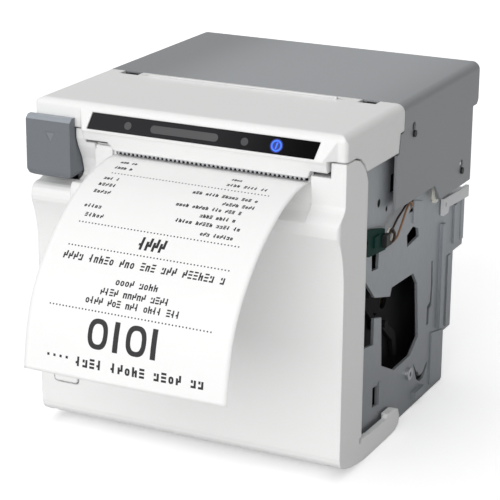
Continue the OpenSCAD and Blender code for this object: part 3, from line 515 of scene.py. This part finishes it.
def print_ring(cx, cs, radius_x, radius_s, stroke, count=40):
    """Upright ring, slightly squared."""
    def at(k, inset):
        angle = 2 * math.pi * k / count
        power = 2.6
        c, s = math.cos(angle), math.sin(angle)
        q = (abs(c) ** power + abs(s) ** power) ** (-1 / power)
        return (cx + (radius_x - inset) * q * c, cs + (radius_s - inset) * q * s)
    for k in range(count):
        print_patch([at(k + 1, 0), at(k + 1, stroke), at(k, stroke), at(k, 0)])


def print_sign(x, s0, s1, w, t):
    """One random meaningless sign of width w and stroke t: a small ring or a few bars."""
    h = s1 - s0
    mid = s0 + h * 0.5
    right = x + w
    kind = random.randrange(7)
    if kind == 1:
        print_ring(x + w / 2, s0 + h * 0.62, w / 2, h * 0.38, t * 0.9, 14)
        return
    bars = {
        0: [(x, x + t, s0, s1), (right - t, right, mid - t, s1),
            (x + t, right - t, mid - t / 2, mid + t / 2)],
        2: [(x, x + t, s0 + h * 0.25, s1), (right - t, right, s0 + h * 0.25, s1),
            (x + t, right - t, s0 + h * 0.25, s0 + h * 0.25 + t)],
        3: [(x, right, s0, s0 + t), (x, right, mid - t / 2, mid + t / 2),
            (x, right, s1 - t, s1)],
        4: [(x + w / 2 - t / 2, x + w / 2 + t / 2, s0, s1), (x, x + w / 2, mid, mid + t)],
        5: [(right - t, right, s0 + h * 0.2, s1), (x, right - t, s1 - t, s1),
            (x, x + t, s0 + h * 0.2, mid)],
        6: [(x, x + t, s0 + h * 0.3, s1), (right - t, right, s0, s1 - h * 0.3),
            (x + t, right - t, mid, mid + t)],
    }
    for bar in bars[kind]:
        print_bar(*bar)


def print_line(x0, x1, s0, s1, stroke, ratio=0.58, pitch=0.76, gaps=True):
    """Row of signs; ratio and pitch are a sign's width and spacing over its height."""
    height = s1 - s0
    width = height * ratio
    step = height * pitch
    count = round((x1 - x0 + step - width) / step)
    step = (x1 - x0 - width) / (count - 1)
    run = 0
    for i in range(count):
        run += 1
        if gaps and 0 < i < count - 1 and run > random.choice((3, 4, 5, 7)):
            run = 0
            continue
        print_sign(x0 + i * step, s0, s1, width, stroke)


def print_dots(x0, x1, s, size=0.5, pitch=1.3):
    count = int((x1 - x0) / pitch)
    for i in range(count + 1):
        x = x0 + i * (x1 - x0) / count
        print_bar(x - size / 2, x + size / 2, s - size / 2, s + size / 2)


SMALL_LINES = [  # x0, x1, s0, s1
    (-22.9, -16.3, 7.6, 9.2), (-22.8, -15.8, 12.2, 13.9), (22.8, 26.8, 8.9, 10.4),
    (22.9, 38.6, 12.9, 14.6), (-23.1, -17.0, 19.8, 21.5), (-23.2, -16.5, 23.6, 25.3),
    (-23.2, -16.6, 27.5, 29.2), (-23.3, -16.6, 34.8, 36.5), (-21.1, -13.9, 38.8, 40.6),
    (13.2, 38.4, 20.4, 22.1), (26.7, 39.0, 24.3, 26.0), (10.2, 35.4, 27.8, 29.5),
    (21.2, 34.8, 31.6, 33.3), (13.3, 38.1, 35.2, 36.9), (24.7, 37.2, 39.4, 41.1),
]
for ends in SMALL_LINES:
    print_line(*ends, stroke=0.45)
for s in (17.1, 43.2, 52.9, 75.1):
    print_dots(-21.8, 40.6, s)
print_line(4.3, 14.5, 45.4, 50.6, stroke=0.98, ratio=0.42, pitch=0.53, gaps=False)
print_line(-22.2, 40.5, 55.3, 58.3, stroke=0.58, ratio=0.5, pitch=0.68)
for ends in ((1.2, 17.5, 62.5, 65.0), (-3.5, 23.0, 66.6, 69.1), (-8.4, 28.1, 70.2, 72.7)):
    print_line(*ends, stroke=0.52, pitch=0.7)
# large rings, each with an upright bar to its right
BIG_S, BIG_HALF_HEIGHT = 82.7, 5.3
for ring_x, bar_x in ((-1.3, 4.9), (13.7, 19.5)):
    print_ring(ring_x, BIG_S, 3.9, BIG_HALF_HEIGHT, stroke=1.75)
    print_bar(bar_x, bar_x + 2.0, BIG_S - BIG_HALF_HEIGHT, BIG_S + BIG_HALF_HEIGHT)
print_line(-9.0, 40.1, 91.6, 95.0, stroke=0.8, ratio=0.56, pitch=0.8)
for k in range(4):
    x = -20.2 + k * 2.5
    print_bar(x - 0.45, x + 0.45, 92.2, 93.1)
make("receipt_print", join(ink_shapes), "ink", "receipt_strip")

# ---------------------------------------------------------------- web from roll to exit
# (y, z) over the platen and forward to the exit
WEB_OVER_PLATEN = [
    (-44.5, 108.3), (-44.8, 109.5), (-45.4, 110.6), (-46.2, 111.4), (-47.2, 111.95),
    (-48.5, 112.28), (-50, 112.36), (-53, 112.37), (-56, 112.38), (-59, 112.44), (-62.4, 112.5),
]
WEB_STEPS = 14  # pieces in the straight run
web_y, web_z = WEB_OVER_PLATEN[0]
aim_z = 108.5  # the tangent aims slightly above the run's end
leave_radius = ROLL_RADIUS + 0.4
tangent_angle = (math.atan2(aim_z - ROLL_Z, web_y - ROLL_Y)
                 + math.acos(leave_radius / math.hypot(web_y - ROLL_Y, aim_z - ROLL_Z)))
leave_y = ROLL_Y + leave_radius * math.cos(tangent_angle)
leave_z = ROLL_Z + leave_radius * math.sin(tangent_angle)
web_line = [(leave_y + (web_y - leave_y) * k / WEB_STEPS,
             leave_z + (web_z - leave_z) * k / WEB_STEPS) for k in range(WEB_STEPS)]
web = make("web_paper",
           sheet(web_line + WEB_OVER_PLATEN, (STRIP_X0, STRIP_X1), PAPER_THICKNESS, 12),
           "thermal_paper", None, smooth=True)
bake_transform(web)
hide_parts("paper_web")


# ---------------------------------------------------------------- paper roll
def paper_roll(rings=46, segments=96):
    """Wound roll: flat ends with slightly uneven layers, outer radius easing in by a layer."""
    x0, x1 = span("paper_roll", 0)
    core_low, core_high = span("roll_core", 2)
    inner = (core_high - core_low) / 2
    radii = [inner + (ROLL_RADIUS - inner) * k / rings for k in range(rings + 1)]

    def uneven(k):
        return random.random() * 0.16 if 0 < k < rings else 0.05

    right = [(x1 - 0.02 - uneven(k), r) for k, r in enumerate(radii)]
    left = [(x0 + 0.02 + uneven(k), r) for k, r in enumerate(radii)]
    profile = right + left[::-1]
    n = len(profile)
    verts, faces = [], []
    for a in range(segments):
        angle = 2 * math.pi * a / segments
        c, s = math.cos(angle), math.sin(angle)
        for x, r in profile:
            if r >= ROLL_RADIUS - 0.01:
                r -= 0.05 * (a / segments)
            verts.append(mm(x, ROLL_Y + r * c, ROLL_Z + r * s))
    for a in range(segments):
        b = (a + 1) % segments
        for k in range(n):
            k2 = (k + 1) % n
            faces.append((a * n + k, a * n + k2, b * n + k2, b * n + k))
    return verts, faces


roll = make("roll_paper", paper_roll(), "roll_edge", "roll")
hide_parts("paper_roll")


# ---------------------------------------------------------------- springs
def coil(x, y, z, axis, radius, wire, turns, length, steps=20):
    """Coil spring from (x, y, z) along axis x or z, wound close at both ends."""
    end, closeness = 0.16, 0.35  # share of the turns in each end; rise there over the mean
    path = []
    count = int(turns * steps)
    for i in range(count + 1):
        angle = 2 * math.pi * i / steps
        t = i / count
        if t <= end:
            rise = t * closeness
        elif t >= 1 - end:
            rise = 1 - (1 - t) * closeness
        else:
            rise = (end * closeness
                    + (t - end) / (1 - 2 * end) * (1 - 2 * closeness * end))
        rise *= length
        c, s = radius * math.cos(angle), radius * math.sin(angle)
        path.append(mm(x + c, y + s, z + rise) if axis == "z" else mm(x + rise, y + c, z + s))
    return tube(path, wire)


low, high = span("head_springs", 2)
margin = 0.3
head_springs = make("head_spring_coils", join([
    coil(x, -46, low + margin, "z", radius=2.1, wire=0.3, turns=6.5,
         length=high - low - 2 * margin) for x in (-15, 35)]),
    "spring_steel", "chassis", smooth=True)
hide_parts("head_springs")
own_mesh(head_springs)

low, high = span("lever_spring", 0)
margin = 0.35
lever_spring = make("lever_spring_coil", coil(
    low + margin, -55, 116.4, "x", radius=2.45, wire=0.32, turns=5.2,
    length=high - low - 2 * margin), "spring_steel", "lever", smooth=True)
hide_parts("lever_spring")

# ---------------------------------------------------------------- flat head cable
# (y, z) from front to rear
RIBBON_LINE = [
    (-43.9, 113.05), (-41.6, 112.75), (-38.7, 110.25), (-34, 108.6), (-30, 107.25),
    (-22, 106.4), (-14, 105.65), (-10, 105.6), (-7.6, 106), (-6.3, 107.5), (-5.85, 109),
    (-5.85, 110.8),
]
ribbon = make("head_ribbon", sheet(
    spline_yz(RIBBON_LINE, 5), span("head_cable", 0), 0.14, 40,
    lambda u, s: 0.03 * abs(math.sin(u * math.pi * 20))),
    "flat_cable", "chassis", smooth=True)
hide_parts("head_cable")

# ---------------------------------------------------------------- wires on the right plate
# x is measured outward from the plate in this section's tables
WIRES = [
    ("cable_dark", [
        (2.4, -24.6, 82.6), (2.6, -22.5, 83.6), (2.4, -19, 84.8), (2.0, -14.5, 86.6),
        (1.8, -9, 88.3), (1.6, -3.5, 89.9), (1.4, 1.5, 90.6), (0.9, 4.2, 89.4),
        (-0.6, 4.9, 86.2)]),
    ("cable_tan", [
        (2.2, -24.6, 81.4), (2.2, -21.5, 80.0), (2.3, -18.4, 79.2), (2.2, -14.6, 79.7),
        (2.0, -11.4, 81.6), (1.8, -7.6, 84.6), (1.6, -4.0, 87.6), (1.4, 0.0, 89.4),
        (0.6, 4.3, 87.6), (-0.6, 5.2, 84.8)]),
]
for i, (wire_material, points) in enumerate(WIRES):
    path = spline([mm(PLATE_X + x, y, z) for x, y, z in points], 7)
    make(f"harness_wire_{i+1}", tube(path, 0.42), wire_material,
                      "chassis", smooth=True)


def curl(steps, start_angle, turns, centre_y, x, radius_y, radius_z, wire):
    """Looped wire facing out of the plate; x and the radii are (start, end) pairs."""
    path = []
    for k in range(steps + 1):
        t = k / steps
        angle = start_angle + t * 2 * math.pi * turns
        out, ry, rz = (a + (b - a) * t for a, b in (x, radius_y, radius_z))
        path.append(mm(PLATE_X + out, centre_y + ry * math.cos(angle),
                       82.2 + rz * math.sin(angle)))
    return tube(path, wire)


def plate_blocks(rows):
    """Joined blocks from rows of x0, x1, y0, y1, z0, z1, chamfer."""
    return join([block(PLATE_X + x0, PLATE_X + x1, *rest) for x0, x1, *rest in rows])


make("harness_curl", curl(
    60, start_angle=-2.4, turns=1.7, centre_y=-21.6, x=(2.3, 3.6), radius_y=(3.5, 2.0),
    radius_z=(3.325, 1.9), wire=0.36), "cable_dark", "chassis", smooth=True)
make("harness_sleeve", curl(
    40, start_angle=-1.9, turns=1.1, centre_y=-21.4, x=(2.0, 2.0), radius_y=(2.7, 2.7),
    radius_z=(2.6, 2.6), wire=0.42),
    "natural_plastic", "chassis", smooth=True)
make("cable_clip", plate_blocks([
    (0.05, 1.5, 26.6, 30.2, 83.0, 88.4, 0.4),
    (0.05, 2.0, 27.4, 29.4, 81.8, 83.6, 0.3),
]), "natural_plastic", "chassis")
# body and two sockets
make("harness_connector", plate_blocks([
    (1.5, 3.4, -27.5, -24.2, 79.2, 84.2, 0.3),
    (1.9, 2.9, -24.3, -23.7, 82.0, 83.4, 0.1),
    (1.9, 2.9, -24.3, -23.7, 80.4, 81.8, 0.1),
]), "components", "chassis")
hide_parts("side_harness")

# ---------------------------------------------------------------- indicator window marks
WINDOW_TOP, WINDOW_BOTTOM = (-67.38, 127.98), (-69.97, 122.31)  # (y, z) of its edges
window_length = math.hypot(WINDOW_BOTTOM[0] - WINDOW_TOP[0], WINDOW_BOTTOM[1] - WINDOW_TOP[1])
down_y = (WINDOW_BOTTOM[0] - WINDOW_TOP[0]) / window_length
down_z = (WINDOW_BOTTOM[1] - WINDOW_TOP[1]) / window_length


def on_window(x, t, height):
    """Place t mm down from the window's top edge, height mm above its face."""
    return mm(x, WINDOW_TOP[0] + down_y * t + down_z * height,
              WINDOW_TOP[1] + down_z * t - down_y * height)


def window_plate(outline, bottom, top):
    return prism(*([on_window(x, t, height) for x, t in outline] for height in (bottom, top)),
                 flip=True)


def pill(x0, x1, t, radius, count=16):
    outline = []
    for centre, start in ((x1 - radius, -math.pi / 2), (x0 + radius, math.pi / 2)):
        for k in range(count + 1):
            angle = start + math.pi * k / count
            outline.append((centre + radius * math.cos(angle), t + radius * math.sin(angle)))
    return outline


def window_ring(x, t, inner, outer, bottom, top, count=48):
    section = ((inner, bottom), (outer, bottom), (outer, top), (inner, top))
    verts, faces = [], []
    for k in range(count):
        angle = 2 * math.pi * k / count
        for r, height in section:
            verts.append(on_window(x + r * math.cos(angle), t + r * math.sin(angle), height))
    for k in range(count):
        a, b = k * 4, (k + 1) % count * 4
        for e in range(4):
            e2 = (e + 1) % 4
            faces.append((a + e, a + e2, b + e2, b + e))
    return verts, faces


MARK_T, MARK_RADIUS = 3.3, 1.45
LIT_X, LIT_T = 37.2, 3.2  # centre of the lit blue mark
STROKE = [(36.75, 4.35), (37.25, 4.35), (37.75, 2.05), (37.2, 2.05)]  # (x, t)
WINDOW_MARKS = [
    ("mark_dot_left", window_plate(circle(-22.6, MARK_T, MARK_RADIUS, 40), -0.05, 0.03),
     "mark_grey"),
    ("mark_pill", window_plate(pill(-13.2, 14.2, MARK_T, MARK_RADIUS), -0.05, 0.03),
     "mark_grey"),
    ("mark_dot_right", window_plate(circle(24.7, MARK_T, MARK_RADIUS, 40), -0.05, 0.03),
     "mark_dim"),
    ("mark_glow", window_plate(circle(LIT_X, LIT_T, 2.5, 40), -0.05, 0.02), "mark_glow"),
    ("mark_ring", window_ring(LIT_X, LIT_T, 1.55, 2.05, 0.0, 0.06), "mark_blue"),
    ("mark_stroke", window_plate(STROKE, 0.0, 0.06), "mark_blue"),
]
for name, shape, mark_material in WINDOW_MARKS:
    make(name, shape, mark_material, "chassis")

# ---------------------------------------------------------------- small parts
make("tear_gap_shade", block(-29.0, 48.4, -66.15, -65.9, 113.1, 114.6, chamfer=0.05),
     "black_plastic", "chassis")
make("lever_mark", prism_y([(-56.4, 119.15), (-54.5, 115.6), (-52.6, 119.15)], -70.97, -70.79),
     "lever_inlay", "lever")
# painted shade: dark plates behind two round holes and a four-sided one, standing in for the
# shade inside them, as (y, z) outlines
HOLE_OUTLINES = [
    circle(-27.8, 96.3, 1.57, 24),
    circle(-20.2, 92.1, 1.07, 24),
    [(-17.26, 97.64), (-13.04, 97.24), (-13.44, 104.16), (-17.06, 104.36)],
]
make("plate_hole_shade", join([prism_x(outline, 59.35, 59.75) for outline in HOLE_OUTLINES]),
     "black_plastic", "chassis")
make("seam_bead", block(-42.2, 38.0, -18.38, -17.55, 131.4, 131.9, chamfer=0.1),
     "white_plastic", "chassis")
# hooks in the lid's rear slots, made black as painted shade inside the slots: x0, x1, y0, y1,
# z0, z1
LID_HOOKS = [
    (-54.6, -47.0, -18.2, -15.9, 126.5, 129.7), (-53.4, -48.4, -15.6, -13.4, 126.5, 130.3),
    (46.7, 53.4, -18.2, -15.9, 126.5, 129.7), (48.0, 52.2, -15.6, -13.4, 126.5, 130.3),
]
make("lid_hooks_painted_shade", join([block(*ends, chamfer=0.3) for ends in LID_HOOKS]),
     "black_plastic", "chassis")


# ---------------------------------------------------------------- floor, light, camera
def build_floor(half=6):
    """Floor that looks glowing white to the camera but bounces a duller grey."""
    mat = bpy.data.materials.new("floor")
    mat.use_nodes = True
    tree = mat.node_tree
    seen = tree.nodes["Principled BSDF"]
    for key, value in {
        "Base Color": (0.9, 0.9, 0.9, 1), "Roughness": 0.9, "Specular IOR Level": 0.1,
        "Emission Color": (1, 1, 1, 1), "Emission Strength": 0.4,
    }.items():
        seen.inputs[key].default_value = value
    bounced = add_node(tree, "BsdfDiffuse", {"Color": (0.74, 0.74, 0.74, 1)})
    light_path = add_node(tree, "LightPath")
    mix = add_node(tree, "MixShader", {
        0: light_path.outputs["Is Camera Ray"], 1: bounced.outputs[0], 2: seen.outputs[0]})
    tree.links.new(mix.outputs[0], tree.nodes["Material Output"].inputs["Surface"])
    mesh = bpy.data.meshes.new("floor")
    corners = [(-half, -half, 0), (half, -half, 0), (half, half, 0), (-half, half, 0)]
    mesh.from_pydata(corners, [], [(0, 1, 2, 3)])
    mesh.materials.append(mat)
    floor = bpy.data.objects.new("floor", mesh)
    bpy.context.scene.collection.objects.link(floor)
    floor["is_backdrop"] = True


def build_world():
    """Grey surroundings, brighter toward -X and a little toward the front."""
    world = bpy.data.worlds.new("studio")
    bpy.context.scene.world = world
    world.use_nodes = True
    tree = world.node_tree
    background = tree.nodes["Background"]
    background.inputs["Strength"].default_value = 1.0
    direction = add_node(tree, "TexCoord").outputs["Generated"]
    slope = add_node(tree, "VectorMath", {0: direction, 1: (-0.34, -0.16, -0.02)},
                     operation="DOT_PRODUCT").outputs["Value"]
    level = math_node(tree, "ADD", slope, 0.55)
    tree.links.new(grey(tree, level), background.inputs["Color"])


def build_sun(name, toward, strength, spread):
    """Sun shining from the direction toward; spread is its angular size in degrees."""
    light = bpy.data.lights.new(name, "SUN")
    light.energy = strength
    light.angle = math.radians(spread)
    obj = bpy.data.objects.new(name, light)
    obj.rotation_mode = "QUATERNION"
    obj.rotation_quaternion = Vector(toward).to_track_quat("Z", "Y")
    bpy.context.scene.collection.objects.link(obj)
    obj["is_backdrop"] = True


def build_camera(location, azimuth, elevation, roll_angle, lens):
    """Camera to the front right, looking down; angles in degrees, location in metres."""
    azimuth, elevation, roll_angle = map(math.radians, (azimuth, elevation, roll_angle))
    back = Vector((math.sin(azimuth) * math.cos(elevation),
                   -math.cos(azimuth) * math.cos(elevation), math.sin(elevation)))
    forward = -back
    level_right = forward.cross(Vector((0, 0, 1))).normalized()
    level_up = level_right.cross(forward)
    right = level_right * math.cos(roll_angle) + level_up * math.sin(roll_angle)
    up = level_up * math.cos(roll_angle) - level_right * math.sin(roll_angle)
    data = bpy.data.cameras.new("camera")
    data.sensor_width = 36.0
    data.lens = lens
    data.clip_start = 0.05
    data.clip_end = 50
    camera = bpy.data.objects.new("camera", data)
    bpy.context.scene.collection.objects.link(camera)
    matrix = Matrix.Identity(4)
    for column, axis in enumerate((right, up, back, location)):
        for row in range(3):
            matrix[row][column] = axis[row]
    camera.matrix_world = matrix
    bpy.context.scene.camera = camera


build_floor()
build_world()
build_sun("key", toward=(0.06, -0.95, 0.34), strength=1.6, spread=60)
build_sun("top_fill", toward=(0.1, 0.3, 1.0), strength=0.30, spread=60)
build_camera(location=(0.3162, -0.6599, 0.3013), azimuth=26.05, elevation=18.19,
             roll_angle=0.48, lens=138.82248)
bpy.context.scene.view_settings.view_transform = "Standard"
bpy.context.scene.view_settings.look = "None"

bpy.context.view_layer.update()
low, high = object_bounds()
